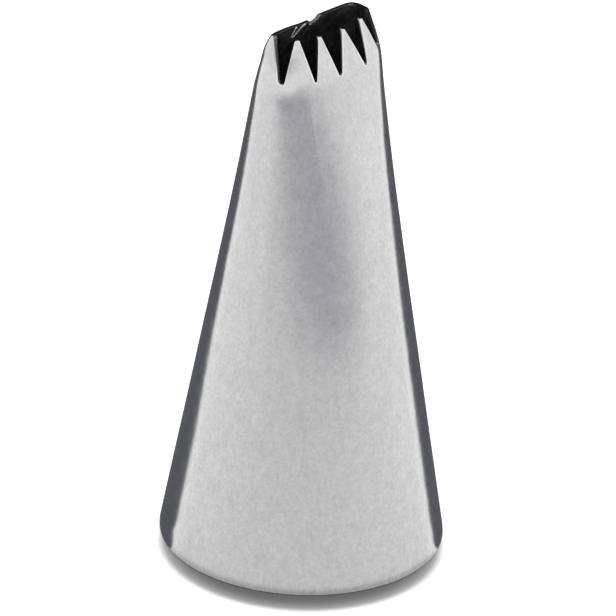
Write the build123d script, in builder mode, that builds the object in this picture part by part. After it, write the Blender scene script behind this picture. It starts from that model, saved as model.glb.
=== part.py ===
from build123d import *
import math
import os

os.makedirs("parts", exist_ok=True)

# ---------------------------------------------------------------------------
# Piping nozzle, flattened toothed mouth. Millimetres, +Z from the wide base to
# the mouth, origin at the centre of the base rim. The toothed lip faces -Y,
# the smooth lip with the seam faces +Y, the mouth is long along X.
# ---------------------------------------------------------------------------

# driving dimensions
base_radius = 9.0            # outside radius of the wide end
taper = 0.164                # radius lost per mm of height (9.3 degrees)
sheet = 0.30                 # sheet thickness
mouth_z = 35.25              # height of the mouth rim
notch_z = 32.74              # height of the bottoms of the notches
flatten_z = 8.6              # below this height the wall is a plain cone
flatten_power = 2.57         # how the flattening grows towards the mouth
lip_ease = 0.35              # how gently the lips start to bend in
seam_x = 0.20                # the seam runs up the smooth side, just off centre
seam_gap = 0.24              # width of the weld between the two sheet edges
seam_proud = 0.04            # how far the weld stands out of the sheet, each side
rim_gap_left, rim_gap_right = -0.15, 0.62    # nick where the weld stops at the rim
rim_gap_depth = 0.36
# half widths of the blunt tips, left and right of each; the first tooth is all end wall
tip_left = [0.0, 0.175, 0.088, 0.124, 0.132, 0.304]
tip_right = [-0.32, 0.095, 0.155, 0.055, 0.075]
root_width = [0.40, 0.125, 0.23, 0.21, 0.24]     # width and corner radius of each notch's bottom
root_radius = [0.15, 0.04, 0.08, 0.07, 0.08]
end_left = (-0.307, 33.244, 1.076)       # pull-in of the left end near the mouth: amount, height, reach
end_right = (0.160, 33.624, 1.639)       # bulge of the right end near the mouth

# half lengths to the right and left, toothed side depth, smooth side depth,
# roundness of each side, shift towards the toothed side
notch_level = dict(right=4.27, left=4.27, front=2.16, back=2.77, n_front=3.35, n_back=2.45, shift=-0.09)
mouth_level = dict(right=3.92, left=3.50, front=1.24, back=0.97, n_front=2.62, n_back=6.24, shift=-0.25)

# heights at which the wall's section is drawn
section_heights = [1.1 * i for i in range(33)] + [35.75]

# tooth tips and notch bottoms along the toothed lip: (x, height)
tooth_tips = [(-3.50, 35.22), (-2.67, 35.29), (-1.11, 35.18), (0.94, 35.13), (2.62, 35.26), (3.93, 35.33)]
notch_roots = [(-3.968, 32.68), (-2.15, 32.72), (-0.12, 32.65), (2.14, 32.66), (3.60, 33.37)]


def above_notch(z):
    """Height above the notch bottoms, eased in so the lip bends without a crease."""
    return lip_ease * math.log(1.0 + math.exp((z - notch_z) / lip_ease))


def section_shape(z):
    """Half lengths, depths, roundness and shift of the flattened section at z."""
    t = above_notch(z) / (mouth_z - notch_z)
    shape = {k: notch_level[k] + t * (mouth_level[k] - notch_level[k]) for k in notch_level}
    for key, (amount, height, reach) in (("left", end_left), ("right", end_right)):
        shape[key] += amount * math.exp(-((z - height) / reach) ** 2)
    grow = cone_radius(z - above_notch(z)) / cone_radius(notch_z)
    for key in ("right", "left", "front", "back", "shift"):
        shape[key] *= grow
    return shape


def cone_radius(z):
    return base_radius - taper * z


def oval_half(a, b, n, count):
    """Points evenly spaced along half of a rounded oval, from (a, 0) to (-a, 0)."""
    fine = 720
    xs, ys, run = [], [], [0.0]
    for i in range(fine + 1):
        t = math.pi * i / fine
        c, s = math.cos(t), max(0.0, math.sin(t))
        xs.append(a * math.copysign(abs(c) ** (2.0 / n), c))
        ys.append(b * s ** (2.0 / n))
        if i:
            run.append(run[-1] + math.hypot(xs[i] - xs[i - 1], ys[i] - ys[i - 1]))
    pts, j = [], 0
    for k in range(count + 1):
        target = run[-1] * k / count
        while j < fine - 1 and run[j + 1] < target:
            j += 1
        span = run[j + 1] - run[j]
        f = 0.0 if span == 0 else (target - run[j]) / span
        pts.append((xs[j] + f * (xs[j + 1] - xs[j]), ys[j] + f * (ys[j + 1] - ys[j])))
    pts[0], pts[-1] = (a, 0.0), (-a, 0.0)
    return pts


def wall_points(z, inset, toothed, count=36):
    """One half of the wall's section at height z, inset from the outer face."""
    low = z - above_notch(z)
    w = (max(0.0, low - flatten_z) / (notch_z - flatten_z)) ** flatten_power
    r = cone_radius(low) - inset
    shape = section_shape(z)
    right, left = shape["right"] - inset, shape["left"] - inset
    depth = (shape["front"] if toothed else shape["back"]) - inset
    n = shape["n_front"] if toothed else shape["n_back"]
    side = 1.0 if toothed else -1.0
    pts = []
    for k, (ox, oy) in enumerate(oval_half(right, depth, n, count)):
        if side * ox < 0:
            ox *= left / right
        ang = math.pi * k / count
        x = (1 - w) * r * math.cos(ang) + w * ox
        p = (1 - w) * r * (0.0 if k in (0, count) else math.sin(ang)) + w * (oy + side * shape["shift"])
        pts.append((side * x, -side * p))
    return pts


def wall_section(z, inset):
    """Closed outline of the wall at height z: toothed half, then smooth half."""
    outline = wall_points(z, inset, True)[:-1] + wall_points(z, inset, False)[:-1]
    marks = [i / len(outline) for i in range(len(outline) + 1)]
    add(Edge.make_spline([(x, y, 0) for x, y in outline], periodic=True, parameters=marks))


def lip_point(x, z):
    """The point of the toothed lip's outer face at (x, z)."""
    pts = wall_points(z, 0.0, True, 360)
    best = min(pts, key=lambda q: abs(q[0] - x) + (0 if q[1] < 0.3 else 9))
    return best


# ---------------------------------------------------------------------------
# nozzle_body: one rolled sheet, open along the seam
# ---------------------------------------------------------------------------
with BuildPart() as nozzle_body:
    # outer face
    for h in section_heights:
        with BuildSketch(Plane.XY.offset(h)):
            with BuildLine():
                wall_section(h, 0.0)
            make_face()
    loft()
    # inner face, run past both ends
    for h in section_heights:
        with BuildSketch(Plane.XY.offset(h)):
            with BuildLine():
                wall_section(h, sheet)
            make_face()
    loft(mode=Mode.SUBTRACT)
    # rim of the smooth lip, a straight trim
    with BuildSketch(Plane.XZ):
        with BuildLine():
            Polyline((-6, 35.28), (-3.45, 35.28), (-3.15, 35.22), (-1.8, 35.24), (-0.75, 35.17), (-0.1, 35.20), (0.6, 35.44),
                     (2.3, 35.51), (3.0, 35.55), (3.4, 35.48), (3.75, 35.36), (3.93, 35.30), (6, 35.30), (6, 37), (-6, 37),
                     close=True)
        make_face()
    extrude(amount=-8, mode=Mode.SUBTRACT)
    # rim of the toothed lip, through the tips of the teeth
    with BuildSketch(Plane.XZ):
        with BuildLine():
            Polyline((-6, 35.22), *tooth_tips, (6, 35.36), (6, 37), (-6, 37), close=True)
        make_face()
    extrude(amount=8, mode=Mode.SUBTRACT)
    # notches between the teeth
    for k, (root_x, root_z) in enumerate(notch_roots):
        left, right = tooth_tips[k], tooth_tips[k + 1]
        lx, ly = lip_point(*left)
        rx, ry = lip_point(*right)
        px, py = lip_point(root_x, root_z)
        chord = math.hypot(rx - lx, ry - ly)
        tx, ty = (rx - lx) / chord, (ry - ly) / chord
        cut_plane = Plane(origin=((lx + rx) / 2, (ly + ry) / 2, 0), x_dir=(tx, ty, 0), z_dir=(ty, -tx, 0))
        root_u = (px - (lx + rx) / 2) * tx + (py - (ly + ry) / 2) * ty
        half = root_width[k] / 2
        left_u, right_u = -chord / 2 + tip_right[k], chord / 2 - tip_left[k + 1]
        rise_l = (left_u - (root_u - half)) / (left[1] - root_z)
        rise_r = (right_u - (root_u + half)) / (right[1] - root_z)
        top = 36.6
        for reach in (3.0, -0.65):
            with BuildSketch(cut_plane):
                with BuildLine():
                    Polyline(
                        (root_u - half, root_z),
                        (root_u + half, root_z),
                        (root_u + half + rise_r * (top - root_z), top),
                        (root_u - half + rise_l * (top - root_z), top),
                        close=True,
                    )
                make_face()
                fillet(vertices().sort_by(Axis.Y)[:2], radius=root_radius[k])
            extrude(amount=reach, mode=Mode.SUBTRACT)
    # the gap that the weld fills, and the nick at the rim
    with BuildSketch(Plane.XZ):
        with Locations((seam_x, 18)):
            Rectangle(seam_gap, 44)
        with BuildLine():
            Polyline(
                (rim_gap_left, 36.5),
                (rim_gap_left, mouth_z - 0.10),
                (rim_gap_left + 0.18, mouth_z - rim_gap_depth),
                (rim_gap_right - 0.22, mouth_z - rim_gap_depth),
                (rim_gap_right, mouth_z - 0.14),
                (rim_gap_right, 36.5),
                close=True,
            )
        make_face()
    extrude(amount=-12, mode=Mode.SUBTRACT)

nozzle_body.part.label = "nozzle_body"
export_step(nozzle_body.part, "parts/nozzle_body.step")

# ---------------------------------------------------------------------------
# seam_weld: the bead that closes the sheet, base rim to just under the mouth
# ---------------------------------------------------------------------------
with BuildPart() as seam_weld:
    for h in section_heights:
        with BuildSketch(Plane.XY.offset(h)):
            with BuildLine():
                wall_section(h, -seam_proud)
            make_face()
    loft()
    for h in section_heights:
        with BuildSketch(Plane.XY.offset(h)):
            with BuildLine():
                wall_section(h, sheet + seam_proud)
            make_face()
    loft(mode=Mode.SUBTRACT)
    with BuildSketch(Plane.XZ):
        with Locations((seam_x, (mouth_z - rim_gap_depth) / 2)):
            Rectangle(seam_gap, mouth_z - rim_gap_depth)
    extrude(amount=-12, mode=Mode.INTERSECT)

seam_weld.part.label = "seam_weld"
export_step(seam_weld.part, "parts/seam_weld.step")

for piece in (nozzle_body, seam_weld):
    box = piece.part.bounding_box()
    print(piece.part.label, "solids", len(piece.part.solids()), "volume mm3", round(piece.part.volume, 2),
          "box", [round(v, 3) for v in (*box.min, *box.max)])
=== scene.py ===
import bpy
import bmesh
import math
import numpy as np
from mathutils import Matrix, Vector, noise


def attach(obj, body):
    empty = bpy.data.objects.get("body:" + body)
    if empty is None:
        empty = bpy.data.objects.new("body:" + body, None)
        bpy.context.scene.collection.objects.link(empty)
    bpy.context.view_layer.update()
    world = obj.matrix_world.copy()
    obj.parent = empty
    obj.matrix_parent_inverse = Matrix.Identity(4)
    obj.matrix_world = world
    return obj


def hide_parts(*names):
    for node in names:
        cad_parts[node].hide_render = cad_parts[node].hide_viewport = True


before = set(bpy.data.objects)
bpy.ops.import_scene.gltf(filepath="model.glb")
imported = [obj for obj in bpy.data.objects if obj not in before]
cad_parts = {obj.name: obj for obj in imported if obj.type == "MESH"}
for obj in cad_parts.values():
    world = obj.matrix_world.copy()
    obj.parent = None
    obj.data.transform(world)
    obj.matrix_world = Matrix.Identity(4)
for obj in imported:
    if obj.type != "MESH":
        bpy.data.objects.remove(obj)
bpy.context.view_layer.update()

# ---------------------------------------------------------------------------
# Piping nozzle. Lengths in this part are in mm; meshes are written in metres.
# The wall follows the same section rule as the solid: a cone that is pressed
# to a flat oval, +Z from base to mouth, toothed lip at -Y, seam at +Y.
# ---------------------------------------------------------------------------
MM = 0.001
BASE_R, TAPER, SHEET = 9.0, 0.164, 0.30
MOUTH_Z, NOTCH_Z = 35.25, 32.74
FLAT_Z, FLAT_POWER, LIP_EASE = 8.6, 2.57, 0.35
SEAM_X, SEAM_GAP = 0.20, 0.24
END_LEFT = (-0.307, 33.244, 1.076)      # pull-in of the left end near the mouth: amount, height, reach
END_RIGHT = (0.160, 33.624, 1.639)      # bulge of the right end near the mouth
# half widths of the blunt tips, left and right of each; the first tooth is all end wall
TIP_LEFT = (0.0, 0.175, 0.088, 0.124, 0.132, 0.304)
TIP_RIGHT = (-0.32, 0.095, 0.155, 0.055, 0.075)
ROOT_W = (0.40, 0.125, 0.23, 0.21, 0.24)         # width and corner radius of each notch's bottom
ROOT_R = (0.15, 0.04, 0.08, 0.07, 0.08)
# right and left half lengths, toothed and smooth depths, roundness of each, shift
NOTCH_OVAL = (4.27, 4.27, 2.16, 2.77, 3.35, 2.45, -0.09)
MOUTH_OVAL = (3.92, 3.50, 1.24, 0.97, 2.62, 6.24, -0.25)
TIPS = ((-3.50, 35.22), (-2.67, 35.29), (-1.11, 35.18), (0.94, 35.13), (2.62, 35.26), (3.93, 35.33))
ROOTS = ((-3.968, 32.68), (-2.15, 32.72), (-0.12, 32.65), (2.14, 32.66), (3.60, 33.37))
EDGE = 0.045                 # rounding of the cut edges, along the sheet
EDGE_OUT, EDGE_IN = 0.075, 0.035         # and through its thickness: punched from outside
TIP_DROP = 0.035             # softened corners of the blunt tips
RIDGE_X = -2.70              # pressing line on the toothed side

_quarter = 0.25 * math.pi * (1.0 - np.cos(np.linspace(0.0, math.pi, 97)))
_turn = np.concatenate([_quarter, _quarter[1:] + 0.5 * math.pi])
_COS, _SIN = np.cos(_turn), np.sin(_turn)
_COS[96], _SIN[-1], _SIN[0] = 0.0, 0.0, 0.0


def lip_rise(z):
    return LIP_EASE * np.log1p(np.exp(np.minimum((z - NOTCH_Z) / LIP_EASE, 40.0)))


def half_oval(frac, a, b, n):
    """Points at the given share of the length of a rounded half oval, (a, 0) to (-a, 0)."""
    p = (2.0 / n)[:, None]
    xs = a[:, None] * np.sign(_COS) * np.abs(_COS) ** p
    ys = b[:, None] * np.abs(_SIN) ** p
    run = np.concatenate([np.zeros((len(a), 1)), np.cumsum(np.hypot(np.diff(xs), np.diff(ys)), axis=1)], axis=1)
    run /= run[:, -1:]
    j = np.clip((run[:, 1:] < frac[:, None]).sum(1), 0, run.shape[1] - 2)
    k = np.arange(len(a))
    f = np.clip((frac - run[k, j]) / np.maximum(run[k, j + 1] - run[k, j], 1e-12), 0.0, 1.0)
    x = xs[k, j] + f * (xs[k, j + 1] - xs[k, j])
    y = ys[k, j] + f * (ys[k, j + 1] - ys[k, j])
    grow = (np.abs(x / a) ** n + np.abs(y / b) ** n) ** (-1.0 / n)
    return x * grow, y * grow


def wall(v, z, inset):
    """Points of the wall: v is 0 at the +X end, 0.5 mid toothed lip, 1 at the -X end,
    1.5 mid smooth side, 2 at the +X end again; inset is the depth below the outer face."""
    v, z, inset = np.broadcast_arrays(*(np.asarray(q, float) for q in (v, z, inset)))
    shape = v.shape
    v, z, inset = v.ravel(), z.ravel(), inset.ravel()
    out = np.empty((len(v), 3))
    for at in range(0, len(v), 4000):
        s = slice(at, at + 4000)
        vv, zz, ii = np.mod(v[s], 2.0), z[s], inset[s]
        toothed = vv <= 1.0
        side = np.where(toothed, 1.0, -1.0)
        frac = np.where(toothed, vv, vv - 1.0)
        rise = lip_rise(zz)
        low = zz - rise
        w = (np.maximum(0.0, low - FLAT_Z) / (NOTCH_Z - FLAT_Z)) ** FLAT_POWER
        r = BASE_R - TAPER * low
        grow = r / (BASE_R - TAPER * NOTCH_Z)
        t = rise / (MOUTH_Z - NOTCH_Z)
        right, left, front, back, n_front, n_back, shift = (a + t * (b - a) for a, b in zip(NOTCH_OVAL, MOUTH_OVAL))
        left = left + END_LEFT[0] * np.exp(-((zz - END_LEFT[1]) / END_LEFT[2]) ** 2)
        right = right + END_RIGHT[0] * np.exp(-((zz - END_RIGHT[1]) / END_RIGHT[2]) ** 2)
        a = right * grow - ii
        b = np.where(toothed, front, back) * grow - ii
        ox, oy = half_oval(frac, a, b, np.where(toothed, n_front, n_back))
        ox = np.where(side * ox < 0, ox * (left * grow - ii) / a, ox)
        turn = math.pi * frac
        x = (1 - w) * (r - ii) * np.cos(turn) + w * ox
        p = (1 - w) * (r - ii) * np.sin(turn) + w * (oy + side * shift * grow)
        out[s] = np.stack([side * x, -side * p, zz], axis=1)
    return out.reshape(*shape, 3)


def solve(value, target, lo, hi):
    """Where value, which falls as v rises, meets target; bisection on arrays."""
    target = np.asarray(target, float)
    lo, hi = np.full(target.shape, float(lo)), np.full(target.shape, float(hi))
    for _ in range(34):
        mid = 0.5 * (lo + hi)
        above = value(mid) > target
        lo, hi = np.where(above, mid, lo), np.where(above, hi, mid)
    return 0.5 * (lo + hi)


# the notches' cutting planes, each square to the line between two tips
def lip_point(x, z):
    pts = wall(np.linspace(0, 1, 361), z, 0.0)
    return pts[np.argmin(np.abs(pts[:, 0] - x) + np.where(pts[:, 1] < 0.3, 0.0, 9.0))]


notches = []
for k, (rx, rz) in enumerate(ROOTS):
    a, b, c = lip_point(*TIPS[k]), lip_point(*TIPS[k + 1]), lip_point(rx, rz)
    chord = math.hypot(b[0] - a[0], b[1] - a[1])
    tx, ty = (b[0] - a[0]) / chord, (b[1] - a[1]) / chord
    mx, my = (a[0] + b[0]) / 2, (a[1] + b[1]) / 2
    ru = (c[0] - mx) * tx + (c[1] - my) * ty
    rise_l = (-chord / 2 + TIP_RIGHT[k] - (ru - ROOT_W[k] / 2)) / (TIPS[k][1] - rz)
    rise_r = (chord / 2 - TIP_LEFT[k + 1] - (ru + ROOT_W[k] / 2)) / (TIPS[k + 1][1] - rz)
    notches.append(dict(tx=tx, ty=ty, mx=mx, my=my, ru=ru, rz=rz, l=rise_l, r=rise_r))
BRACKET = ((0.80, 1.085), (0.58, 0.90), (0.40, 0.66), (0.20, 0.45), (-0.07, 0.30))


def root_arc(k, side):
    """Centre of the rounding at the foot of a notch's flank, and the way from it square out to the flank."""
    q, r, sign = notches[k], ROOT_R[k], (-1.0 if side == "l" else 1.0)
    s = math.hypot(1, q[side])
    uc = q["ru"] + sign * ROOT_W[k] / 2 + q[side] * r - sign * r * s
    return uc, q["rz"] + r, sign / s, -sign * q[side] / s


def root_corner(k, side, back):
    """Middle of that rounding, moved back into the metal by back: place along the cut, and height."""
    uc, zc, nu, nz = root_arc(k, side)
    m = math.hypot(nu, nz - 1.0)
    return uc + (ROOT_R[k] + back) * nu / m, zc + (ROOT_R[k] + back) * (nz - 1.0) / m


def root_height(k, share, back):
    """Height of the notch's bottom from its right corner (0) to its left (1)."""
    (ur, _), (ul, _) = root_corner(k, "r", back), root_corner(k, "l", back)
    u = ur + (ul - ur) * share
    rr = ROOT_R[k] + back
    z = np.full(u.shape, notches[k]["rz"] - back)
    for side, sign in (("l", -1.0), ("r", 1.0)):
        uc, zc, _, _ = root_arc(k, side)
        past = sign * (u - uc)
        z = np.where(past > 0, zc - np.sqrt(np.maximum(rr * rr - past * past, 0.0)), z)
    return z


def cut_v(k, u, z, inset):
    q = notches[k]

    def along(v):
        p = wall(v, z, inset)
        return (p[..., 0] - q["mx"]) * q["tx"] + (p[..., 1] - q["my"]) * q["ty"]
    return solve(along, u, *BRACKET[k])


def flank_v(k, side, z, back, inset):
    """v of the notch's flank at height z, moved back into the metal by back."""
    z = np.asarray(z, float)
    uc, zc, nu, nz = root_arc(k, side)
    rr, sign = ROOT_R[k] + back, (-1.0 if side == "l" else 1.0)
    straight = uc + nu * rr + notches[k][side] * (z - (zc + nz * rr))
    bend = uc + sign * np.sqrt(np.maximum(rr * rr - (z - zc) ** 2, 0.0))
    u = np.where(z >= zc + nz * rr, straight, bend)
    if k == 0 and side == "l":       # the end wall's flank is cut square to the sheet
        inset = 0.0
    return cut_v(k, u, z, inset)


def x_line(x, z, inset, which):
    """v of the point of the smooth side ("right" or "left" of the seam) or toothed side at x."""
    z = np.asarray(z, float)
    lo, hi = {"right": (-1.0, 0.0), "left": (1.0, 2.0), "toothed": (0.0, 1.0)}[which]
    if which == "toothed":
        return solve(lambda v: wall(v, z, inset)[..., 0], np.full(z.shape, float(x)), lo, hi)
    return solve(lambda v: -wall(v, z, inset)[..., 0], -np.full(z.shape, float(x)), lo, hi)


# rims
def rim_toothed(x):
    return np.interp(x, [-6] + [t[0] for t in TIPS] + [6], [35.22] + [t[1] for t in TIPS] + [35.36])


def rim_smooth(x):
    z = np.interp(x, [-6, -3.45, -3.15, -1.8, -0.75, -0.1, 0.6, 2.3, 3.0, 3.4, 3.75, 3.93, 6],
                  [35.31, 35.31, 35.25, 35.275, 35.20, 35.235, 35.49, 35.545, 35.55, 35.49, 35.37, 35.31, 35.31])
    nick = np.interp(x, [-0.16, -0.12, 0.03, 0.06, 0.37, 0.41, 0.60, 0.64, 0.66],
                     [36.0, 35.12, 34.905, 34.89, 34.89, 34.905, 35.09, 35.16, 36.0])
    return np.minimum(z, nick)


def soft_step(q):
    q = np.clip(q, 0.0, 1.0)
    return q * q * (3 - 2 * q)


# ---------------------------------------------------------------------------
# Columns and rows of the sheet
# ---------------------------------------------------------------------------
TOP_OF_LOW = 32.35
low_rows = np.concatenate([[EDGE, 0.10, 0.2, 0.36, 0.6, 0.9], np.linspace(1.2, TOP_OF_LOW, 105)])
STEPS_TO_ROOT, STEPS_TOOTH = 3, 18
near_right = np.array([0.32 + EDGE, 0.385, 0.41, 0.45, 0.50, 0.55, 0.595, 0.625, 0.65, 0.70, 0.78, 0.90, 1.05])
near_left = np.array([-0.66, -0.50, -0.38, -0.29, -0.23, -0.18, -0.155, -0.13, -0.09, -0.05, -0.01, 0.015, 0.08 - EDGE])
FAR = 44


class Block:
    pass


def spaced(n, power=1.0):
    return np.linspace(0.0, 1.0, n + 1) ** power


def corner_v(k, side, inset):
    return float(flank_v(k, side, np.array(root_corner(k, side, EDGE)[1]), EDGE, inset))


blocks = []
b = Block(); b.kind, b.right, b.left = "back_right", None, 4; blocks.append(b)
for k in (4, 3, 2, 1, 0):
    b = Block(); b.kind, b.notch = "root", k; blocks.append(b)
    if k:
        b = Block(); b.kind, b.right, b.left = "tooth", k, k - 1; blocks.append(b)
b = Block(); b.kind, b.right, b.left = "back_left", 0, None; blocks.append(b)

# share of the way across each block, for its column lines
n_col = 0
for b in blocks:
    if b.kind == "back_right":
        b.share = np.concatenate([np.zeros(len(near_right) - 1), spaced(FAR, 1.12)])
    elif b.kind == "back_left":
        b.share = np.concatenate([1 - spaced(FAR, 1.12)[::-1], np.ones(len(near_left) - 1)])
    elif b.kind == "root":
        b.share = spaced(8)
    elif b.right == 1:           # the tooth above the pressing line: one column follows it
        at_v = float(x_line(RIDGE_X, np.array(TOP_OF_LOW), 0.0, "toothed"))
        v0, v1 = corner_v(1, "l", 0.0), corner_v(0, "r", 0.0)
        f = (at_v - v0) / (v1 - v0)
        near = np.cumsum(np.concatenate([[0], np.geomspace(1, 2.4, 9)]))
        far = np.cumsum(np.concatenate([[0], np.geomspace(1, 5.0, 17)]))
        b.share = np.concatenate([f * (1 - near[::-1] / near[-1]), (f + (1 - f) * far / far[-1])[1:]])
        b.ridge = 9
        ridge_v0 = at_v
    else:
        b.share = spaced(20)
    b.c0 = n_col
    n_col += len(b.share) - 1
    b.c1 = n_col
    if hasattr(b, "ridge"):
        ridge_col = b.c0 + b.ridge
C = n_col


def low_grid(inset):
    """v and z of the lower rows and the rows up to the notch roots, for every column line."""
    rows = len(low_rows) + STEPS_TO_ROOT
    V = np.zeros((rows, C + 1))
    Z = np.zeros((rows, C + 1))
    root_z = np.zeros(C + 1)
    for b in blocks:
        cols = slice(b.c0, b.c1 + 1)
        f = b.share
        if b.kind == "root":
            root_z[cols] = root_height(b.notch, f, EDGE)
        elif b.kind == "tooth":
            root_z[cols] = (1 - f) * root_corner(b.right, "l", EDGE)[1] + f * root_corner(b.left, "r", EDGE)[1]
        elif b.kind == "back_right":
            root_z[cols] = root_corner(4, "r", EDGE)[1]
        else:
            root_z[cols] = root_corner(0, "l", EDGE)[1]
    for r in range(rows):
        if r < len(low_rows):
            Z[r] = low_rows[r]
        else:
            q = (r - len(low_rows) + 1) / STEPS_TO_ROOT
            Z[r] = TOP_OF_LOW + (root_z - TOP_OF_LOW) * q
    for b in blocks:
        cols = slice(b.c0, b.c1 + 1)
        f = b.share[None, :]
        if b.kind == "root":
            v0, v1 = corner_v(b.notch, "r", inset), corner_v(b.notch, "l", inset)
            V[:, cols] = v0 + (v1 - v0) * f
        elif b.kind == "tooth":
            v0, v1 = corner_v(b.right, "l", inset), corner_v(b.left, "r", inset)
            V[:, cols] = v0 + (v1 - v0) * f
        elif b.kind == "back_right":
            m = len(near_right)
            zz = Z[:, b.c0:b.c0 + m]
            V[:, b.c0:b.c0 + m] = np.stack([x_line(x, zz[:, i], inset, "right") for i, x in enumerate(near_right)], axis=1)
            g = b.share[None, m - 1:]
            v0, v1 = V[:, b.c0 + m - 1][:, None], corner_v(4, "r", inset)
            V[:, b.c0 + m - 1:b.c1 + 1] = v0 + (v1 - v0) * g
        else:
            m = len(near_left)
            first = b.c1 - m + 1
            V[:, first:b.c1 + 1] = np.stack([x_line(x, Z[:, first + i], inset, "left") for i, x in enumerate(near_left)], axis=1)
            g = b.share[None, :FAR + 1]
            v0, v1 = corner_v(0, "l", inset), V[:, first][:, None]
            V[:, b.c0:first + 1] = v0 + (v1 - v0) * g
    # lines near the pressing line lean so that one of them follows it down the cone
    depth = 15.5 + 1.2 * np.log1p(np.exp((Z[:, ridge_col] - 15.5) / 1.2))
    shift = x_line(RIDGE_X, np.minimum(depth, TOP_OF_LOW), inset, "toothed") - V[:, ridge_col]
    fade = soft_step((TOP_OF_LOW + 0.25 - Z[:, ridge_col]) / 0.6)
    d = (V - V[:, ridge_col][:, None]) / 0.24
    near = np.where(np.abs(d) < 1, (1 - np.minimum(d * d, 1)) ** 2, 0.0)
    inner_cols = (V > 0.3) & (V < 1.0)
    V = V + np.where(inner_cols, (shift * fade)[:, None] * near, 0.0)
    return V, Z


def flank_rows(k, side, back, inset, drop):
    """z and v up a notch flank from the root corner to the tip corner."""
    z0 = root_corner(k, side, back)[1]
    tip = TIPS[k] if side == "l" else TIPS[k + 1]
    z1 = tip[1]
    for _ in range(6):
        v = float(flank_v(k, side, np.array(z1), back, inset))
        p = wall(v, z1, inset)
        rim = rim_toothed(p[0]) if p[1] < 0 else rim_smooth(p[0])
        if k == 4 and side == "r":
            rim = 0.5 * (rim_toothed(p[0]) + rim_smooth(p[0]))
        z1 = float(rim) - back - drop
    z = z0 + (z1 - z0) * np.linspace(0, 1, STEPS_TOOTH + 1) ** 1.4
    return z, flank_v(k, side, z, back, inset)


def tooth_grid(b, inset, back, Zlow_last):
    """v and z for the rows of a block above the notch roots; back is EDGE for the grid, 0 for the true cut."""
    f = b.share
    s = np.linspace(0, 1, STEPS_TOOTH + 1)[:, None] ** 1.4
    if b.kind == "tooth":
        zr, vr = flank_rows(b.right, "l", back, inset, TIP_DROP)
        zl, vl = flank_rows(b.left, "r", back, inset, TIP_DROP)
        V = vr[:, None] + (vl - vr)[:, None] * f[None, :]
        top = zr[-1] + (zl[-1] - zr[-1]) * f + TIP_DROP * (1 - np.abs(2 * f - 1) ** 4)
        bottom = zr[0] + (zl[0] - zr[0]) * f
        return V, bottom + (top - bottom) * s
    if b.kind == "back_right":
        m, near, which = len(near_right), near_right.copy(), "right"
        near[0] = 0.32 + back
        zl, vl = flank_rows(4, "r", back, inset, TIP_DROP)
        end = float(x_line(near[-1], np.array(35.3), inset, which))
        v_top = end + (vl[-1] - end) * f[m - 1:]
        z_top = np.full(len(v_top), 35.3)
        for _ in range(3):
            p = wall(v_top, z_top, inset)
            q = soft_step((v_top + 0.03) / 0.05)
            z_top = (1 - q) * rim_smooth(p[:, 0]) + 0.5 * q * (rim_smooth(p[:, 0]) + rim_toothed(p[:, 0])) - back
        run = np.hypot(*(wall(v_top, z_top, inset)[:, :2] - wall(vl[-1], zl[-1], inset)[:2]).T)
        z_top = z_top - TIP_DROP * np.maximum(0, 1 - run / 0.12) ** 3
        top = np.concatenate([rim_smooth(near[:-1]) - back, z_top])
        top[-1] = zl[-1]
        bottom = np.full(len(f), zl[0])
        Z = bottom + (top - bottom) * s
        V = np.empty_like(Z)
        for i in range(m):
            V[:, i] = x_line(near[i], Z[:, i], inset, which)
        g = f[None, m - 1:]
        V[:, m - 1:] = V[:, m - 1][:, None] + (vl - V[:, m - 1])[:, None] * g
        return V, Z
    m, near, which = len(near_left), near_left.copy(), "left"
    near[-1] = 0.08 - back
    zr, vr = flank_rows(0, "l", back, inset, TIP_DROP)
    end = float(x_line(near[0], np.array(35.1), inset, which))
    v_top = vr[-1] + (end - vr[-1]) * f[:FAR + 1]
    z_top = np.full(len(v_top), 35.1)
    for _ in range(3):
        z_top = rim_smooth(wall(v_top, z_top, inset)[:, 0]) - back
    run = np.hypot(*(wall(v_top, z_top, inset)[:, :2] - wall(vr[-1], zr[-1], inset)[:2]).T)
    z_top = z_top - TIP_DROP * np.maximum(0, 1 - run / 0.12) ** 3
    top = np.concatenate([z_top, rim_smooth(near[1:]) - back])
    top[0] = zr[-1]
    bottom = np.full(len(f), zr[0])
    Z = bottom + (top - bottom) * s
    V = np.empty_like(Z)
    for i in range(m):
        V[:, FAR + i] = x_line(near[i], Z[:, FAR + i], inset, which)
    g = f[None, :FAR + 1]
    V[:, :FAR + 1] = vr[:, None] + (V[:, FAR] - vr)[:, None] * g
    return V, Z


# ---------------------------------------------------------------------------
# Shape of the pressed wall beyond the plain section rule
# ---------------------------------------------------------------------------
def outward(v, z):
    e = 1e-4
    dv = wall(v + e, z, 0.0) - wall(v - e, z, 0.0)
    dz = wall(v, z + 1e-3, 0.0) - wall(v, z - 1e-3, 0.0)
    n = np.cross(dz, dv)
    return n / np.linalg.norm(n, axis=-1, keepdims=True)


def cloud(p, fx, fz, seed):
    return np.array([noise.noise(Vector((q[0] * fx + seed, q[1] * fx - seed, q[2] * fz))) for q in p])


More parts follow.
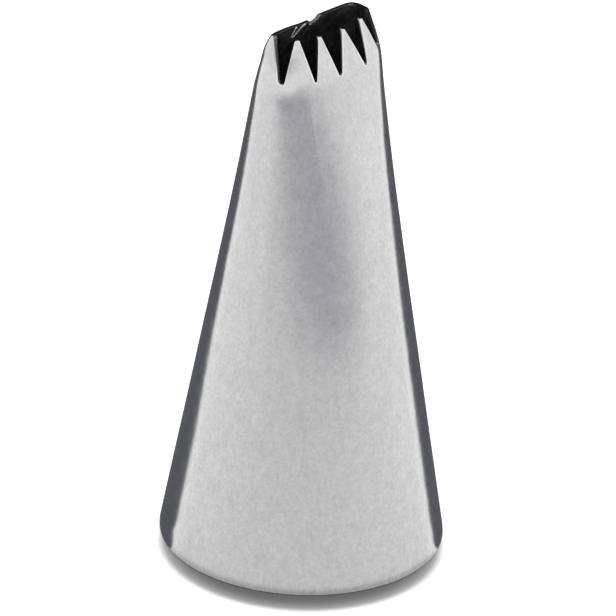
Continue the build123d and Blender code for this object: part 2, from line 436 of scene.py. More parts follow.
def pressed_in(p, v):
    """How far the wall stands inside the plain section, mm."""
    x, y, z = p[:, 0], p[:, 1], p[:, 2]
    live = soft_step((z - 3.0) / 6.0) * soft_step((35.2 - z) / 2.0)
    d = live * (0.010 + 0.010 * cloud(p, 0.34, 0.16, 3.7) + 0.003 * cloud(p, 1.1, 0.6, 11.2))
    # pressing line: a shallow outward crease, the metal beside it a little lower
    reach = soft_step((z - 18.6) / 5.0) * soft_step((32.3 - z) / 1.0)
    toothed = (y < 0) & (np.mod(v, 2.0) < 1.0)
    away = x - (RIDGE_X + 0.10 * np.sin((z - 20.0) * 0.42))
    crease = np.where(away < 0, np.exp(-np.abs(away) / 0.55), np.exp(-np.abs(away) / 0.32))
    groove = np.exp(-((away + 0.075) / 0.055) ** 2)
    d = d + np.where(toothed, reach * (-0.022 * crease + 0.010 * groove), 0.0)
    # the weld's heat draws the sheet in by a hair on both sides of the seam
    back = (y > 0) & (np.mod(v, 2.0) > 1.0)
    draw = np.exp(-((x - SEAM_X) / 0.55) ** 2)
    d = d + np.where(back, 0.012 * soft_step((z - 0.5) / 3.0) * soft_step((35.0 - z) / 1.5) * draw, 0.0)
    return d


# ---------------------------------------------------------------------------
# nozzle sheet mesh
# ---------------------------------------------------------------------------
def sheet_mesh():
    grids = {}
    for name, inset in (("outer", 0.0), ("inner", SHEET)):
        V, Z = low_grid(inset)
        teeth = {i: tooth_grid(b, inset, EDGE, None) for i, b in enumerate(blocks) if b.kind != "root"}
        true = {i: tooth_grid(b, inset, 0.0, None) for i, b in enumerate(blocks) if b.kind != "root"}
        grids[name] = (V, Z, teeth, true)
    rows = len(low_rows) + STEPS_TO_ROOT
    index = np.arange(rows * (C + 1)).reshape(rows, C + 1)
    n = index.size
    tooth_index = {}
    for i, b in enumerate(blocks):
        if b.kind == "root":
            continue
        w = b.c1 - b.c0 + 1
        grid = np.empty((STEPS_TOOTH + 1, w), int)
        grid[0] = index[-1, b.c0:b.c1 + 1]
        grid[1:] = n + np.arange(STEPS_TOOTH * w).reshape(STEPS_TOOTH, w)
        n += STEPS_TOOTH * w
        tooth_index[i] = grid
    vo, vi, zz = np.zeros(n), np.zeros(n), np.zeros(n)
    for store, name in ((vo, "outer"), (vi, "inner")):
        V, Z, teeth, _ = grids[name]
        store[index] = V
        for i, grid in tooth_index.items():
            store[grid[1:]] = teeth[i][0][1:]
    V, Z, teeth, _ = grids["outer"]
    zz[index] = Z
    for i, grid in tooth_index.items():
        zz[grid[1:]] = teeth[i][1][1:]

    # the closed loop of edge points, and where the true cut is beside each
    tvo, tvi, tz = vo.copy(), vi.copy(), zz.copy()
    loop = list(index[0])
    tz[index[0]] = 0.0
    true_o, true_i = grids["outer"][3], grids["inner"][3]
    for col, x, which in ((0, 0.32, "right"), (C, 0.08, "left")):
        ids = index[:, col]
        z_here = zz[ids].copy()
        z_here[0] = 0.0
        tvo[ids] = x_line(x, z_here, 0.0, which)
        tvi[ids] = x_line(x, z_here, SHEET, which)
    for col in (0, C):
        tz[index[0, col]] = 0.0
    last = len(blocks) - 1
    loop += list(index[1:, C])
    for i in range(last, -1, -1):
        b = blocks[i]
        if b.kind == "root":
            ids = index[-1, b.c0:b.c1 + 1]
            k = b.notch
            for store, inset in ((tvo, 0.0), (tvi, SHEET)):
                v0 = float(flank_v(k, "r", np.array(root_corner(k, "r", 0.0)[1]), 0.0, inset))
                v1 = float(flank_v(k, "l", np.array(root_corner(k, "l", 0.0)[1]), 0.0, inset))
                store[ids] = v0 + (v1 - v0) * b.share
            tz[ids] = root_height(k, b.share, 0.0)
            loop += list(ids[::-1][1:-1])
            continue
        grid = tooth_index[i]
        for store, true in ((tvo, true_o[i]), (tvi, true_i[i])):
            for sel in ((slice(1, None), 0), (slice(1, None), -1), (-1, slice(None))):
                store[grid[sel]] = true[0][sel]
        for sel in ((slice(1, None), 0), (slice(1, None), -1), (-1, slice(None))):
            tz[grid[sel]] = true_o[i][1][sel]
        if b.kind == "back_left":
            loop += list(grid[1:, -1]) + list(grid[-1, ::-1][1:]) + list(grid[::-1, 0][1:])
        elif b.kind == "tooth":
            loop += list(grid[:, -1]) + list(grid[-1, ::-1][1:]) + list(grid[::-1, 0][1:])
        else:
            loop += list(grid[:, -1]) + list(grid[-1, ::-1][1:]) + list(grid[::-1, 0][1:])
    loop += list(index[::-1, 0][1:-1])
    loop = np.array(loop)

    quads, painted_tooth_highlight = [], []

    # the first column of each tooth's outer faces takes the brighter material: a painted highlight along the tooth's
    # edge
    def add_grid(grid, painted_bright):
        q = np.stack([grid[:-1, :-1], grid[1:, :-1], grid[1:, 1:], grid[:-1, 1:]], axis=-1)
        near = np.zeros(q.shape[:2], bool)
        near[:, 0] = painted_bright
        quads.append(q.reshape(-1, 4))
        painted_tooth_highlight.append(near.ravel())
    add_grid(index, False)
    for i, grid in tooth_index.items():
        add_grid(grid, blocks[i].kind == "tooth")
    outer_faces, painted_tooth_highlight = np.concatenate(quads), np.concatenate(painted_tooth_highlight)
    inner_faces = outer_faces[:, ::-1] + n
    v_all, z_all, inset_all = [vo, vi], [zz, zz], [np.zeros(n), np.full(n, SHEET)]
    strips, at = [], 2 * n
    rings = [loop]
    m = len(loop)
    steps = [math.radians(a) for a in (22.5, 45, 67.5, 90)]
    for side in ("outer", "inner"):
        v1, v2 = (vo, tvo) if side == "outer" else (vi, tvi)
        for a in (steps if side == "outer" else steps[::-1]):
            v_all.append(v1[loop] + (v2[loop] - v1[loop]) * math.sin(a))
            z_all.append(zz[loop] + (tz[loop] - zz[loop]) * math.sin(a))
            depth = (EDGE_OUT if side == "outer" else EDGE_IN) * (1 - math.cos(a))
            inset_all.append(np.full(m, depth if side == "outer" else SHEET - depth))
            rings.append(np.arange(at, at + m))
            at += m
    rings.append(loop + n)
    for a, b in zip(rings[:-1], rings[1:]):
        strips.append(np.stack([a, np.roll(a, -1), np.roll(b, -1), b], axis=-1))

    v_all, z_all, inset_all = np.concatenate(v_all), np.concatenate(z_all), np.concatenate(inset_all)
    pts = wall(v_all, z_all, inset_all)
    normal = outward(v_all, z_all)
    pts = pts - normal * pressed_in(pts, v_all)[:, None]
    # the rolled-over outer corner keeps the outer finish, except along the teeth, where it takes the brighter material
    # as a painted highlight on the burnished edge, and at the fold at the right end, where it takes the cut material
    # and is painted near black as a dark reflection
    corner, cut = np.concatenate(strips[:3]), strips[3:]
    at = pts[corner].mean(axis=1)
    first = np.arange(len(corner)) < 2 * m
    darkened = (at[:, 0] > 3.50) & (at[:, 2] > 33.28)
    painted_edge_highlight = first & (at[:, 2] > 32.45) & (at[:, 1] < 0.2) & ~darkened
    cut = np.concatenate(cut)
    at = pts[cut].mean(axis=1)
    # the end wall's cut face takes a paler, matt material: painted light, brightened where little light reaches it
    painted_bright = (at[:, 0] < -3.15 - 0.31 * (35.3 - at[:, 2])) & (at[:, 2] > 32.75) & (at[:, 1] < 0.1)
    groups = (np.concatenate([outer_faces[~painted_tooth_highlight], corner[~darkened & ~painted_edge_highlight]]), inner_faces, np.concatenate([cut[~painted_bright], corner[darkened]]),
              np.concatenate([corner[painted_edge_highlight], outer_faces[painted_tooth_highlight]]), cut[painted_bright])
    return pts, groups, inset_all / SHEET


def make_object(name, pts, face_groups, depth=None, smooth=True):
    mesh = bpy.data.meshes.new(name)
    faces = np.concatenate(face_groups)
    mesh.from_pydata((pts * MM).tolist(), [], faces.tolist())
    slot = np.concatenate([np.full(len(g), i, np.int32) for i, g in enumerate(face_groups)])
    mesh.polygons.foreach_set("material_index", slot)
    mesh.polygons.foreach_set("use_smooth", np.full(len(faces), smooth))
    if depth is not None:           # share of the sheet's thickness, 0 at the outer face
        mesh.attributes.new("depth", "FLOAT", "POINT").data.foreach_set("value", np.asarray(depth, np.float32))
    mesh.update()
    bm = bmesh.new()
    bm.from_mesh(mesh)
    bmesh.ops.recalc_face_normals(bm, faces=bm.faces)
    if bm.calc_volume(signed=True) < 0:
        bmesh.ops.reverse_faces(bm, faces=bm.faces)
    open_edges = sum(len(e.link_faces) != 2 for e in bm.edges)
    print(name, "verts", len(bm.verts), "faces", len(bm.faces), "open edges", open_edges, "volume mm3", round(bm.calc_volume() * 1e9, 2))
    bm.to_mesh(mesh)
    bm.free()
    obj = bpy.data.objects.new(name, mesh)
    bpy.context.scene.collection.objects.link(obj)
    return obj


# ---------------------------------------------------------------------------
# weld bead mesh: a low rippled crown inside and out, in the gap of the sheet
# ---------------------------------------------------------------------------
def bead_mesh():
    top = MOUTH_Z - 0.36 - 0.01
    z_rows = np.concatenate([[0.0, 0.015, 0.035], np.arange(0.07, top - 0.05, 0.055), [top - 0.045, top - 0.02, top - 0.004]])
    half = SEAM_GAP / 2 + 0.012
    across = np.linspace(-1, 1, 13)
    end = np.minimum(1.0, np.minimum(np.sqrt(np.clip((z_rows + 0.012) / 0.05, 0, 1)), np.sqrt(np.clip((top + 0.006 - z_rows) / 0.06, 0, 1))))
    pts, grids, n = [], [], 0
    for side in ("outer", "inner"):
        layers_v, layers_z, layers_in = [], [], []
        for s in across:
            x = SEAM_X + half * s
            base = 0.0 if side == "outer" else SHEET
            v = x_line(x, z_rows, base, "left")
            wave = 0.5 + 0.5 * np.cos(2 * math.pi * (z_rows / 0.30 + 0.28 * s * s + 0.10 * np.sin(z_rows * 1.7)))
            crown = (1 - s * s) ** 0.6
            high = -0.030 + (0.046 + 0.006 * np.sin(z_rows * 0.9 + (0 if side == "outer" else 2.0))) * crown + 0.013 * crown * wave
            high = np.minimum(high, 0.036) * end + (1 - end) * -0.10
            layers_v.append(v)
            layers_z.append(z_rows)
            layers_in.append(-high if side == "outer" else SHEET + high)
        v, z, inset = (np.stack(q, axis=1) for q in (layers_v, layers_z, layers_in))
        grid_pts = wall(v, z, inset)
        if side == "outer":
            x_fix = SEAM_X + half * across
        grid_pts[..., 0] = x_fix
        draw = 0.012 * soft_step((z - 0.5) / 3.0) * soft_step((35.0 - z) / 1.5)
        grid_pts -= outward(v, z) * draw[..., None]
        pts.append(grid_pts.reshape(-1, 3))
        grids.append(n + np.arange(z.size).reshape(z.shape))
        n += z.size
    quads = []
    for grid in grids:
        q = np.stack([grid[:-1, :-1], grid[1:, :-1], grid[1:, 1:], grid[:-1, 1:]], axis=-1).reshape(-1, 4)
        quads.append(q if grid is grids[0] else q[:, ::-1])
    o, i = grids
    ring_o = np.concatenate([o[0], o[1:, -1], o[-1, ::-1][1:], o[::-1, 0][1:-1]])
    ring_i = np.concatenate([i[0], i[1:, -1], i[-1, ::-1][1:], i[::-1, 0][1:-1]])
    quads.append(np.stack([ring_o, np.roll(ring_o, -1), np.roll(ring_i, -1), ring_i], axis=-1))
    return np.concatenate(pts), (np.concatenate(quads),)


def ridge_mesh(path, width, high, offset):
    """A thin half-round lip of weld metal along a path (v, z) on the inner face, its ends tapered."""
    v, z = np.array(path).T
    share = np.linspace(0, 1, len(v))
    fine = np.linspace(0, 1, 33)
    v, z = np.interp(fine, share, v), np.interp(fine, share, z)
    mid = wall(v, z, SHEET)
    along = np.gradient(mid, axis=0)
    along /= np.linalg.norm(along, axis=1, keepdims=True)
    inward = -outward(v, z)
    across = np.cross(along, inward)
    taper = np.sqrt(np.clip(np.minimum(fine, 1 - fine) / 0.05, 0.02, 1.0))
    turn = np.linspace(0, 2 * math.pi, 12, endpoint=False)
    ring = (mid[:, None] + across[:, None] * (0.5 * width * np.cos(turn))[None, :, None] * taper[:, None, None]
            + inward[:, None] * (high * np.sin(turn))[None, :, None] * taper[:, None, None])
    n = np.arange(33 * 12).reshape(33, 12)
    sides = np.stack([n[:-1], np.roll(n, -1, 1)[:-1], np.roll(n, -1, 1)[1:], n[1:]], axis=-1).reshape(-1, 4)
    caps = [np.array([[row[0], row[k], row[k + 1], row[k + 2]] for k in range(1, 10, 2)]) for row in (n[0], n[-1])]
    return ring.reshape(-1, 3), np.concatenate([sides] + caps) + offset


# ---------------------------------------------------------------------------
# Materials
# ---------------------------------------------------------------------------
class Nodes:
    def __init__(self, name):
        self.mat = bpy.data.materials.new(name)
        self.mat.use_nodes = True
        self.tree = self.mat.node_tree
        self.tree.nodes.clear()
        self.out = self.tree.nodes.new("ShaderNodeOutputMaterial")
        self.bsdf = self.tree.nodes.new("ShaderNodeBsdfPrincipled")
        self.tree.links.new(self.bsdf.outputs["BSDF"], self.out.inputs["Surface"])
        self.coord = self.tree.nodes.new("ShaderNodeTexCoord").outputs["Object"]

    def link(self, a, b):
        self.tree.links.new(a, b)

    def stretch(self, x, y, z):
        m = self.tree.nodes.new("ShaderNodeMapping")
        m.inputs["Scale"].default_value = (x, y, z)
        self.link(self.coord, m.inputs["Vector"])
        return m.outputs["Vector"]

    def noise(self, vector, scale, detail=3.0, rough=0.55, distort=0.0):
        n = self.tree.nodes.new("ShaderNodeTexNoise")
        n.inputs["Scale"].default_value = scale
        n.inputs["Detail"].default_value = detail
        n.inputs["Roughness"].default_value = rough
        n.inputs["Distortion"].default_value = distort
        self.link(vector, n.inputs["Vector"])
        return n.outputs["Fac"]

    def cells(self, vector, scale):
        n = self.tree.nodes.new("ShaderNodeTexVoronoi")
        n.inputs["Scale"].default_value = scale
        self.link(vector, n.inputs["Vector"])
        return n.outputs["Distance"]

    def ramp(self, fac, *stops):
        n = self.tree.nodes.new("ShaderNodeValToRGB")
        r = n.color_ramp
        while len(r.elements) > 1:
            r.elements.remove(r.elements[-1])
        for i, (pos, col) in enumerate(stops):
            e = r.elements[0] if i == 0 else r.elements.new(pos)
            e.position = pos
            e.color = (*col, 1.0) if isinstance(col, tuple) else (col, col, col, 1.0)
        self.link(fac, n.inputs["Fac"])
        return n.outputs["Color"]

    def math(self, op, a, b=None, c=None, clamp=False):
        n = self.tree.nodes.new("ShaderNodeMath")
        n.operation = op
        n.use_clamp = clamp
        for i, q in enumerate((a, b, c)):
            if q is None:
                continue
            if isinstance(q, (int, float)):
                n.inputs[i].default_value = q
            else:
                self.link(q, n.inputs[i])
        return n.outputs[0]

    def mix(self, fac, a, b, kind="MIX"):
        n = self.tree.nodes.new("ShaderNodeMix")
        n.data_type = "RGBA"
        n.blend_type = kind
        for sock, q in (("Factor", fac), ("A", a), ("B", b)):
            s = next(i for i in n.inputs if i.name == sock and i.enabled)
            if isinstance(q, (int, float)):
                s.default_value = q
            elif isinstance(q, tuple):
                s.default_value = (*q, 1.0)
            else:
                self.link(q, s)
        return next(o for o in n.outputs if o.enabled)

    def bump(self, height, distance, strength=1.0, normal=None):
        n = self.tree.nodes.new("ShaderNodeBump")
        n.inputs["Strength"].default_value = strength
        n.inputs["Distance"].default_value = distance
        self.link(height, n.inputs["Height"])
        if normal is not None:
            self.link(normal, n.inputs["Normal"])
        return n.outputs["Normal"]

    def split(self):
        n = self.tree.nodes.new("ShaderNodeSeparateXYZ")
        self.link(self.coord, n.inputs[0])
        return n.outputs["X"], n.outputs["Y"], n.outputs["Z"]

    def vec(self, op, a, b=None):
        n = self.tree.nodes.new("ShaderNodeVectorMath")
        n.operation = op
        self.link(a, n.inputs[0])
        if b is not None:
            n.inputs[1].default_value = tuple(b)
        return n.outputs["Value" if op in ("DOT_PRODUCT", "LENGTH") else "Vector"]

    def step(self, value, lo, hi, out_lo=0.0, out_hi=1.0):
        """Soft step of value from lo to hi."""
        n = self.tree.nodes.new("ShaderNodeMapRange")
        n.interpolation_type = "SMOOTHSTEP"
        for name, q in (("From Min", lo), ("From Max", hi), ("To Min", out_lo), ("To Max", out_hi)):
            n.inputs[name].default_value = q
        self.link(value, n.inputs["Value"])
        return n.outputs["Result"]


def steel_outside():
    """Satin stainless sheet: soft clouding, blotches, fine pits and short drawing marks up the cone."""
    q = Nodes("satin_steel")
    x, y, z = q.split()
    cloudy = q.noise(q.stretch(1, 1, 0.7), 190.0, 3.0, 0.5)
    blotch = q.noise(q.stretch(1, 1, 0.8), 1300.0, 4.0, 0.6, 0.3)
    grain = q.noise(q.stretch(1, 1, 1), 7200.0, 3.0, 0.65)
    drawn = q.noise(q.stretch(1, 1, 0.12), 5200.0, 2.0, 0.6)
    pits = q.cells(q.stretch(1, 1, 0.85), 6200.0)
    pit = q.ramp(pits, (0.0, 0.0), (0.16, 0.55), (0.34, 1.0))
    tone = q.ramp(cloudy, (0.30, (0.640, 0.642, 0.650)), (0.70, (0.690, 0.690, 0.696)))
    speck = q.noise(q.stretch(1, 1, 0.8), 3600.0, 3.0, 0.6)
    broad = q.noise(q.stretch(1, 1, 0.8), 640.0, 2.0, 0.5)
    tone = q.mix(0.30, tone, q.ramp(broad, (0.32, 0.58), (0.68, 0.75)))
    tone = q.mix(0.50, tone, q.ramp(blotch, (0.30, 0.555), (0.70, 0.775)))
    tone = q.mix(0.28, tone, q.ramp(speck, (0.30, 0.46), (0.70, 0.88)))
    tone = q.mix(0.20, tone, q.ramp(grain, (0.30, 0.44), (0.70, 0.90)))
    tone = q.mix(1.0, tone, q.ramp(pits, (0.0, 0.80), (0.20, 1.0)), "MULTIPLY")
    # painted shade: a darker, mottled patch where the right end was folded, just under the mouth, standing for the
    # fold's dark reflection
    painted_fold_shade = q.math("MULTIPLY", q.step(x, 0.00345, 0.00395), q.math("MULTIPLY", q.step(z, 0.0302, 0.0318), q.step(z, 0.0340, 0.0332)))
    fold_shade_mottle = q.ramp(q.noise(q.stretch(1, 1, 1), 4200.0, 3.0, 0.6), (0.38, (0.24, 0.26, 0.27)), (0.62, (0.66, 0.68, 0.69)))
    tone = q.mix(q.math("MULTIPLY", painted_fold_shade, 0.6), tone, fold_shade_mottle)
    q.link(tone, q.bsdf.inputs["Base Color"])
    q.bsdf.inputs["Metallic"].default_value = 1.0
    rough = q.math("MULTIPLY_ADD", blotch, 0.07, 0.095)
    rough = q.math("MULTIPLY_ADD", grain, 0.05, rough)
    q.link(rough, q.bsdf.inputs["Roughness"])
    n = q.bump(blotch, 0.000008, 0.6)
    n = q.bump(drawn, 0.0000014, 0.6, n)
    n = q.bump(grain, 0.0000018, 0.8, n)
    n = q.bump(pit, 0.0000010, 0.7, n)
    q.link(n, q.bsdf.inputs["Normal"])
    return q.mat


def steel_inside():
    """The inner face is unpolished and rougher; its dark, mottled tone is painted shade for the hollow inside."""
    q = Nodes("shaded_steel_inside")
    blotch = q.noise(q.stretch(1, 1, 0.6), 1500.0, 4.0, 0.62, 0.4)
    grain = q.noise(q.stretch(1, 1, 0.3), 5200.0, 3.0, 0.6)
    tone = q.ramp(blotch, (0.38, (0.05, 0.05, 0.052)), (0.64, (0.30, 0.30, 0.31)))
    tone = q.mix(0.35, tone, q.ramp(grain, (0.34, 0.02), (0.66, 0.36)))
    q.link(tone, q.bsdf.inputs["Base Color"])
    q.bsdf.inputs["Metallic"].default_value = 1.0
    q.link(q.math("MULTIPLY_ADD", blotch, 0.20, 0.42), q.bsdf.inputs["Roughness"])
    n = q.bump(blotch, 0.000008, 0.6)
    n = q.bump(grain, 0.000002, 0.7, n)
    q.link(n, q.bsdf.inputs["Normal"])
    return q.mat


def steel_cut():
    """Punched edges: brighter next to the outer face and dark towards the inner, partly the sheared and torn bands of
    the cut and partly painted shade. On the back and at the right end the whole cut face takes a darker, blotchy tone,
    near black at the right end as a painted dark reflection.
    """
    q = Nodes("cut_steel_edge")
    x, y, z = q.split()
    depth = q.tree.nodes.new("ShaderNodeAttribute")
    depth.attribute_name = "depth"
    blotch = q.noise(q.stretch(1, 1, 1), 4200.0, 3.0, 0.6)
    marks = q.noise(q.stretch(1, 1, 0.2), 12000.0, 2.0, 0.6)
    d = q.math("MULTIPLY_ADD", blotch, 0.12, q.math("SUBTRACT", depth.outputs["Fac"], 0.06))
    # partly painted shade: the cut face darkens from the outer face towards the inner
    shear_band_and_shade = q.ramp(d, (0.10, 0.66), (0.38, 0.46), (0.66, 0.20), (0.92, 0.06))
    dark_cut_tone = q.ramp(blotch, (0.30, (0.07, 0.07, 0.072)), (0.70, (0.22, 0.22, 0.225)))
    dark_cut_tone = q.mix(0.25, dark_cut_tone, q.ramp(marks, (0.3, 0.05), (0.7, 0.36)))
    # painted dark reflection: at the right end near the mouth the cut face goes near black
    end = q.math("MULTIPLY", q.step(x, 0.00350, 0.00360), q.step(z, 0.0332, 0.0335))
    dark_cut_tone = q.mix(end, dark_cut_tone, (0.035, 0.035, 0.037))
    # the cut faces on the back and at the right end take the darker, blotchy tone throughout
    darkened = q.math("MAXIMUM", end, q.step(y, 0.0002, 0.0005))
    q.link(q.mix(darkened, shear_band_and_shade, dark_cut_tone), q.bsdf.inputs["Base Color"])
    q.bsdf.inputs["Metallic"].default_value = 1.0
    q.link(q.math("MULTIPLY_ADD", marks, 0.12, 0.26), q.bsdf.inputs["Roughness"])
    n = q.bump(marks, 0.0000015, 0.7)
    n = q.bump(blotch, 0.000003, 0.6, n)
    q.link(n, q.bsdf.inputs["Normal"])
    return q.mat


def steel_brightened_end_cut():
    """The cut face of the end wall, matt and pale: painted light, brightened where little light reaches it."""
    q = Nodes("brightened_end_cut")
    depth = q.tree.nodes.new("ShaderNodeAttribute")
    depth.attribute_name = "depth"
    marks = q.noise(q.stretch(1, 1, 0.3), 9000.0, 2.0, 0.6)
    d = q.math("MULTIPLY_ADD", marks, 0.16, q.math("SUBTRACT", depth.outputs["Fac"], 0.08))
    q.link(q.ramp(d, (0.10, 0.95), (0.55, 0.82), (0.95, 0.50)), q.bsdf.inputs["Base Color"])
    q.bsdf.inputs["Metallic"].default_value = 0.1
    q.link(q.math("MULTIPLY_ADD", marks, 0.12, 0.40), q.bsdf.inputs["Roughness"])
    return q.mat


def steel_burnish_highlight():
    """The sharp outer corner of the teeth, burnished by the punch; its brighter, smoother finish is also a painted
    highlight along the teeth.
    """
    q = Nodes("burnished_edge_highlight")
    grain = q.noise(q.stretch(1, 1, 0.3), 7000.0, 2.0, 0.6)
    q.link(q.ramp(grain, (0.3, 0.80), (0.7, 0.97)), q.bsdf.inputs["Base Color"])
    q.bsdf.inputs["Metallic"].default_value = 1.0
    q.link(q.math("MULTIPLY_ADD", grain, 0.10, 0.12), q.bsdf.inputs["Roughness"])
    q.link(q.bump(grain, 0.000001, 0.5), q.bsdf.inputs["Normal"])
    return q.mat


def steel_lip():
    """Fine lips of weld metal at the end of the seam, pale and matt; the pale tone is a painted highlight for the glint
    along their edges.
    """
    q = Nodes("weld_lip_highlight")
    grain = q.noise(q.stretch(1, 1, 1), 9000.0, 2.0, 0.6)
    q.link(q.ramp(grain, (0.3, 0.70), (0.7, 0.92)), q.bsdf.inputs["Base Color"])
    q.bsdf.inputs["Metallic"].default_value = 0.25
    q.link(q.math("MULTIPLY_ADD", grain, 0.15, 0.48), q.bsdf.inputs["Roughness"])
    return q.mat


def steel_weld():
    """Weld bead: dull grey crown with the faint straw and blue tint of the heat."""
    q = Nodes("weld_steel")
    blotch = q.noise(q.stretch(1, 1, 0.5), 2600.0, 4.0, 0.6, 0.4)
    grain = q.noise(q.stretch(1, 1, 1), 9000.0, 2.0, 0.6)
    tone = q.ramp(blotch, (0.28, (0.42, 0.40, 0.37)), (0.5, (0.52, 0.52, 0.52)), (0.72, (0.47, 0.49, 0.54)))
    tone = q.mix(0.25, tone, q.ramp(grain, (0.3, 0.35), (0.7, 0.75)))
    q.link(tone, q.bsdf.inputs["Base Color"])
    q.bsdf.inputs["Metallic"].default_value = 1.0
    q.link(q.math("MULTIPLY_ADD", blotch, 0.18, 0.26), q.bsdf.inputs["Roughness"])
    n = q.bump(grain, 0.000002, 0.7)
    q.link(n, q.bsdf.inputs["Normal"])
    return q.mat


pts, groups, depth = sheet_mesh()
sheet = make_object("nozzle_sheet", pts, groups, depth)
for mat in (steel_outside(), steel_inside(), steel_cut(), steel_burnish_highlight(), steel_brightened_end_cut()):
    sheet.data.materials.append(mat)
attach(sheet, "root")
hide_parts("nozzle_body")

pts, groups = bead_mesh()
# two fine lips of weld metal beside the bead, meeting in a V below the rim
lips = []
for path in (((1.4420, 35.17), (1.4181, 35.10), (1.4125, 34.87), (1.4089, 34.57), (1.4037, 34.29), (1.3975, 34.02)),
             ((1.3330, 35.19), (1.3328, 35.10), (1.3513, 34.77), (1.3687, 34.445), (1.3800, 34.12))):
    more, faces = ridge_mesh(path, 0.10, 0.065, len(pts))
    pts = np.concatenate([pts, more])
    lips.append(faces)
bead = make_object("seam_bead", pts, (groups[0], np.concatenate(lips)))
bead.data.materials.append(steel_weld())
bead.data.materials.append(steel_lip())
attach(bead, "root")
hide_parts("seam_weld")

# ---------------------------------------------------------------------------
# Camera, at the photograph's angle
# ---------------------------------------------------------------------------
EL, AZ, ROLL = math.radians(27.242), math.radians(44.189), 0.040926
DISTANCE = 0.700
forward = Vector((math.cos(EL) * math.sin(AZ), math.cos(EL) * math.cos(AZ), -math.sin(EL)))
right = Vector((math.cos(AZ), -math.sin(AZ), 0.0))
up = right.cross(forward)
AIM = (right * -0.0952 + Vector((0.0, 0.0, 15.584))) * MM
right, up = right * math.cos(ROLL) + up * math.sin(ROLL), -right * math.sin(ROLL) + up * math.cos(ROLL)
AIM += (-0.0313 * right + 0.0313 * up) * MM        # half a pixel, to the pixels' centres
cam_data = bpy.data.cameras.new("camera")
cam_data.sensor_width = 36.0
cam_data.lens = 653.92
cam_data.clip_start, cam_data.clip_end = 0.02, 20.0
camera = bpy.data.objects.new("camera", cam_data)
m = Matrix((right, up, -forward)).transposed().to_4x4()
m.translation = AIM - forward * DISTANCE
camera.matrix_world = m
bpy.context.scene.collection.objects.link(camera)
bpy.context.scene.camera = camera

# ---------------------------------------------------------------------------
# Studio: white room, pale floor, dark cards for the edge lines of the metal
# ---------------------------------------------------------------------------
scene = bpy.context.scene
scene.view_settings.view_transform = "Standard"
scene.view_settings.look = "None"
scene.view_settings.exposure = 0.0
scene.view_settings.gamma = 1.0

cam_side = math.atan2(-math.cos(AZ), -math.sin(AZ))      # azimuth from the object to the camera


def azimuth(deg):
    """Direction deg degrees to the right of the camera's side, as seen from the camera."""
    a = cam_side + math.radians(deg)
    return Vector((math.cos(a), math.sin(a), 0.0))


world = bpy.data.worlds.new("white_room")
scene.world = world
world.use_nodes = True
wt = world.node_tree
wt.nodes.clear()
w_out = wt.nodes.new("ShaderNodeOutputWorld")
w_bg = wt.nodes.new("ShaderNodeBackground")
w_bg.inputs["Color"].default_value = (1.0, 1.0, 1.0, 1.0)
w_bg.inputs["Strength"].default_value = 1.0
wt.links.new(w_bg.outputs[0], w_out.inputs["Surface"])

TOWARDS, ACROSS = azimuth(0.0), azimuth(90.0)
SHADE = 2.1                  # how far the soft shadow of the base falls towards the camera, mm


def shade_ring(q):
    """Soft shadow at the foot of the cone: dark at the rim, gone 2 mm in front of it."""
    away = q.vec("LENGTH", q.vec("SUBTRACT", q.coord, TOWARDS * SHADE * MM))
    t = q.math("MULTIPLY_ADD", away, 1000.0 / 2.35, -(BASE_R - SHADE - 0.05) / 2.35, clamp=True)
    return q.ramp(t, (0.10, 0.113), (0.234, 0.126), (0.34, 0.139), (0.46, 0.174), (0.574, 0.226), (0.70, 0.304), (0.745, 0.365),
                  (0.81, 0.52), (0.87, 0.67), (0.915, 0.81), (0.957, 0.92), (1.0, 1.0))


floor_mesh = bpy.data.meshes.new("floor")
size = 3.0
floor_mesh.from_pydata([(-size, -size, 0), (size, -size, 0), (size, size, 0), (-size, size, 0)], [], [(0, 1, 2, 3)])
floor = bpy.data.objects.new("floor", floor_mesh)
scene.collection.objects.link(floor)
fq = Nodes("pale_floor")
fibre = fq.ramp(fq.noise(fq.stretch(1, 1, 1), 900.0, 3.0, 0.5), (0.3, 0.94), (0.7, 0.96))
# painted shadow: the soft shadow ring multiplied into the floor's colour
shaded = fq.mix(1.0, fibre, shade_ring(fq), "MULTIPLY")
fq.link(shaded, fq.bsdf.inputs["Base Color"])
fq.link(shaded, fq.bsdf.inputs["Emission Color"])       # the floor also glows, with the painted shadow ring in its glow as well, so that only the ring is dark
fq.bsdf.inputs["Emission Strength"].default_value = 0.46
fq.bsdf.inputs["Roughness"].default_value = 0.9
fq.bsdf.inputs["Specular IOR Level"].default_value = 0.1
floor_mesh.materials.append(fq.mat)


def card(name, pts, faces, paint, cover=None):
    """A card that only the metal's reflections see; cover gives how solid it is."""
    mesh = bpy.data.meshes.new(name)
    mesh.from_pydata(pts, [], faces)
    obj = bpy.data.objects.new(name, mesh)
    scene.collection.objects.link(obj)
    q = Nodes(name)
    glow = q.tree.nodes.new("ShaderNodeEmission")
    colour = paint(q)
    if isinstance(colour, tuple):
        glow.inputs["Color"].default_value = (*colour, 1.0)
    else:
        q.link(colour, glow.inputs["Color"])
    if cover is None:
        q.link(glow.outputs[0], q.out.inputs["Surface"])
    else:
        clear, blend = q.tree.nodes.new("ShaderNodeBsdfTransparent"), q.tree.nodes.new("ShaderNodeMixShader")
        q.link(cover(q), blend.inputs["Fac"])
        q.link(clear.outputs[0], blend.inputs[1])
        q.link(glow.outputs[0], blend.inputs[2])
        q.link(blend.outputs[0], q.out.inputs["Surface"])
    mesh.materials.append(q.mat)
    obj.visible_camera = False
    obj.visible_diffuse = False
    obj.visible_shadow = False
    return obj


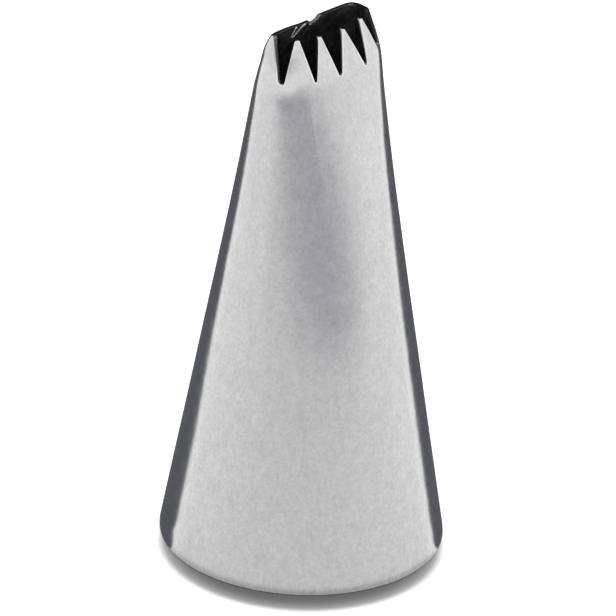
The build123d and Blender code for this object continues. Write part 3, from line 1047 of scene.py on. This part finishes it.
def ring_mesh(r0, r1, z, n=96):
    pts = [(r * math.cos(2 * math.pi * i / n), r * math.sin(2 * math.pi * i / n), z) for r in (r0, r1) for i in range(n)]
    return pts, [(i, (i + 1) % n, n + (i + 1) % n, n + i) for i in range(n)]


def wall_mesh(az0, az1, radius, z0, z1, n=24):
    pts = []
    for z in (z0, z1):
        for i in range(n + 1):
            p = azimuth(az0 + (az1 - az0) * i / n) * radius
            pts.append((p.x, p.y, z))
    return pts, [(i, i + 1, n + 2 + i, n + 1 + i) for i in range(n)]


def polar(q):
    """Distance from the object's axis in mm, and azimuth in degrees from the camera's side, right positive."""
    flat = q.vec("MULTIPLY", q.coord, (1.0, 1.0, 0.0))
    r = q.math("MULTIPLY", q.vec("LENGTH", flat), 1000.0)
    az = q.math("ARCTAN2", q.vec("DOT_PRODUCT", flat, ACROSS), q.vec("DOT_PRODUCT", flat, TOWARDS))
    return r, q.math("MULTIPLY", az, 180.0 / math.pi)


def front_grey(q, az):
    """Share of the greyer surroundings on the camera's side, fading out to both sides."""
    return q.math("MULTIPLY", q.step(az, -95.0, -15.0), q.step(az, 85.0, 30.0))


GREY = (0.480, 0.478, 0.515)
# where the table turns dark behind the object: distance in mm, azimuth in degrees on the left and on the right
DARK_LEFT = ((9.0, 65.0), (11.1, 82.7), (16.1, 96.6), (21.6, 103.8), (27.4, 108.2), (38.0, 114.5), (47.5, 120.0), (58.0, 122.2),
             (68.0, 120.0), (78.0, 117.0), (86.0, 122.0), (100.0, 125.0), (138.0, 129.0))
DARK_RIGHT = ((9.0, 75.0), (11.3, 91.4), (15.7, 105.0), (21.0, 111.6), (26.4, 115.9), (32.2, 118.8), (46.6, 121.3), (71.0, 124.4),
              (88.0, 127.5), (104.0, 127.0))


def table_paint(q):
    """The table as the metal sees it: white to the sides, greyer in front, dark behind the object."""
    r, az = polar(q)
    cos_az = q.math("COSINE", q.math("MULTIPLY", az, math.pi / 180.0))
    light = q.math("MULTIPLY_ADD", cos_az, -0.165, 0.930)
    wide = q.math("MULTIPLY", q.step(r, 100.0, 220.0), q.step(q.math("ABSOLUTE", az), 75.0, 100.0))
    light = q.math("MULTIPLY_ADD", wide, 0.06, light)
    behind, beside = 0.0, 0.0
    for stops, sign in ((DARK_LEFT, -1.0), (DARK_RIGHT, 1.0)):
        edge = q.ramp(q.math("DIVIDE", r, 150.0), *((a / 150.0, b / 180.0) for a, b in stops))
        past = q.math("SUBTRACT", q.math("MULTIPLY", az, sign), q.math("MULTIPLY", edge, 180.0))
        behind = q.math("MAXIMUM", behind, q.step(past, -1.3, 1.3))
        beside = q.math("MAXIMUM", beside, q.step(past, -13.0, -3.0))
    light = q.math("MULTIPLY", light, q.math("MULTIPLY_ADD", beside, 0.13, 1.0))
    grey = q.math("MULTIPLY", q.step(r, 95.0, 185.0), front_grey(q, az))
    colour = q.mix(1.0, (1.0, 1.0, 1.0), light, "MULTIPLY")
    colour = q.mix(grey, colour, GREY)
    colour = q.mix(0.45, colour, q.mix(1.0, colour, shade_ring(q), "MULTIPLY"))
    return q.mix(behind, colour, (0.112, 0.116, 0.132))


card("table_seen", *ring_mesh(0.00906, 3.0, 0.00005), table_paint)
card("dark_behind", *wall_mesh(128.0, 235.0, 0.40, 0.0, 0.75), lambda q: (0.045, 0.045, 0.050))
card("grey_in_front", *wall_mesh(-95.0, 85.0, 0.35, 0.0, 0.16, 60), lambda q: GREY,
     lambda q: q.math("MULTIPLY", front_grey(q, polar(q)[1]), q.step(q.split()[2], 0.16, 0.02)))
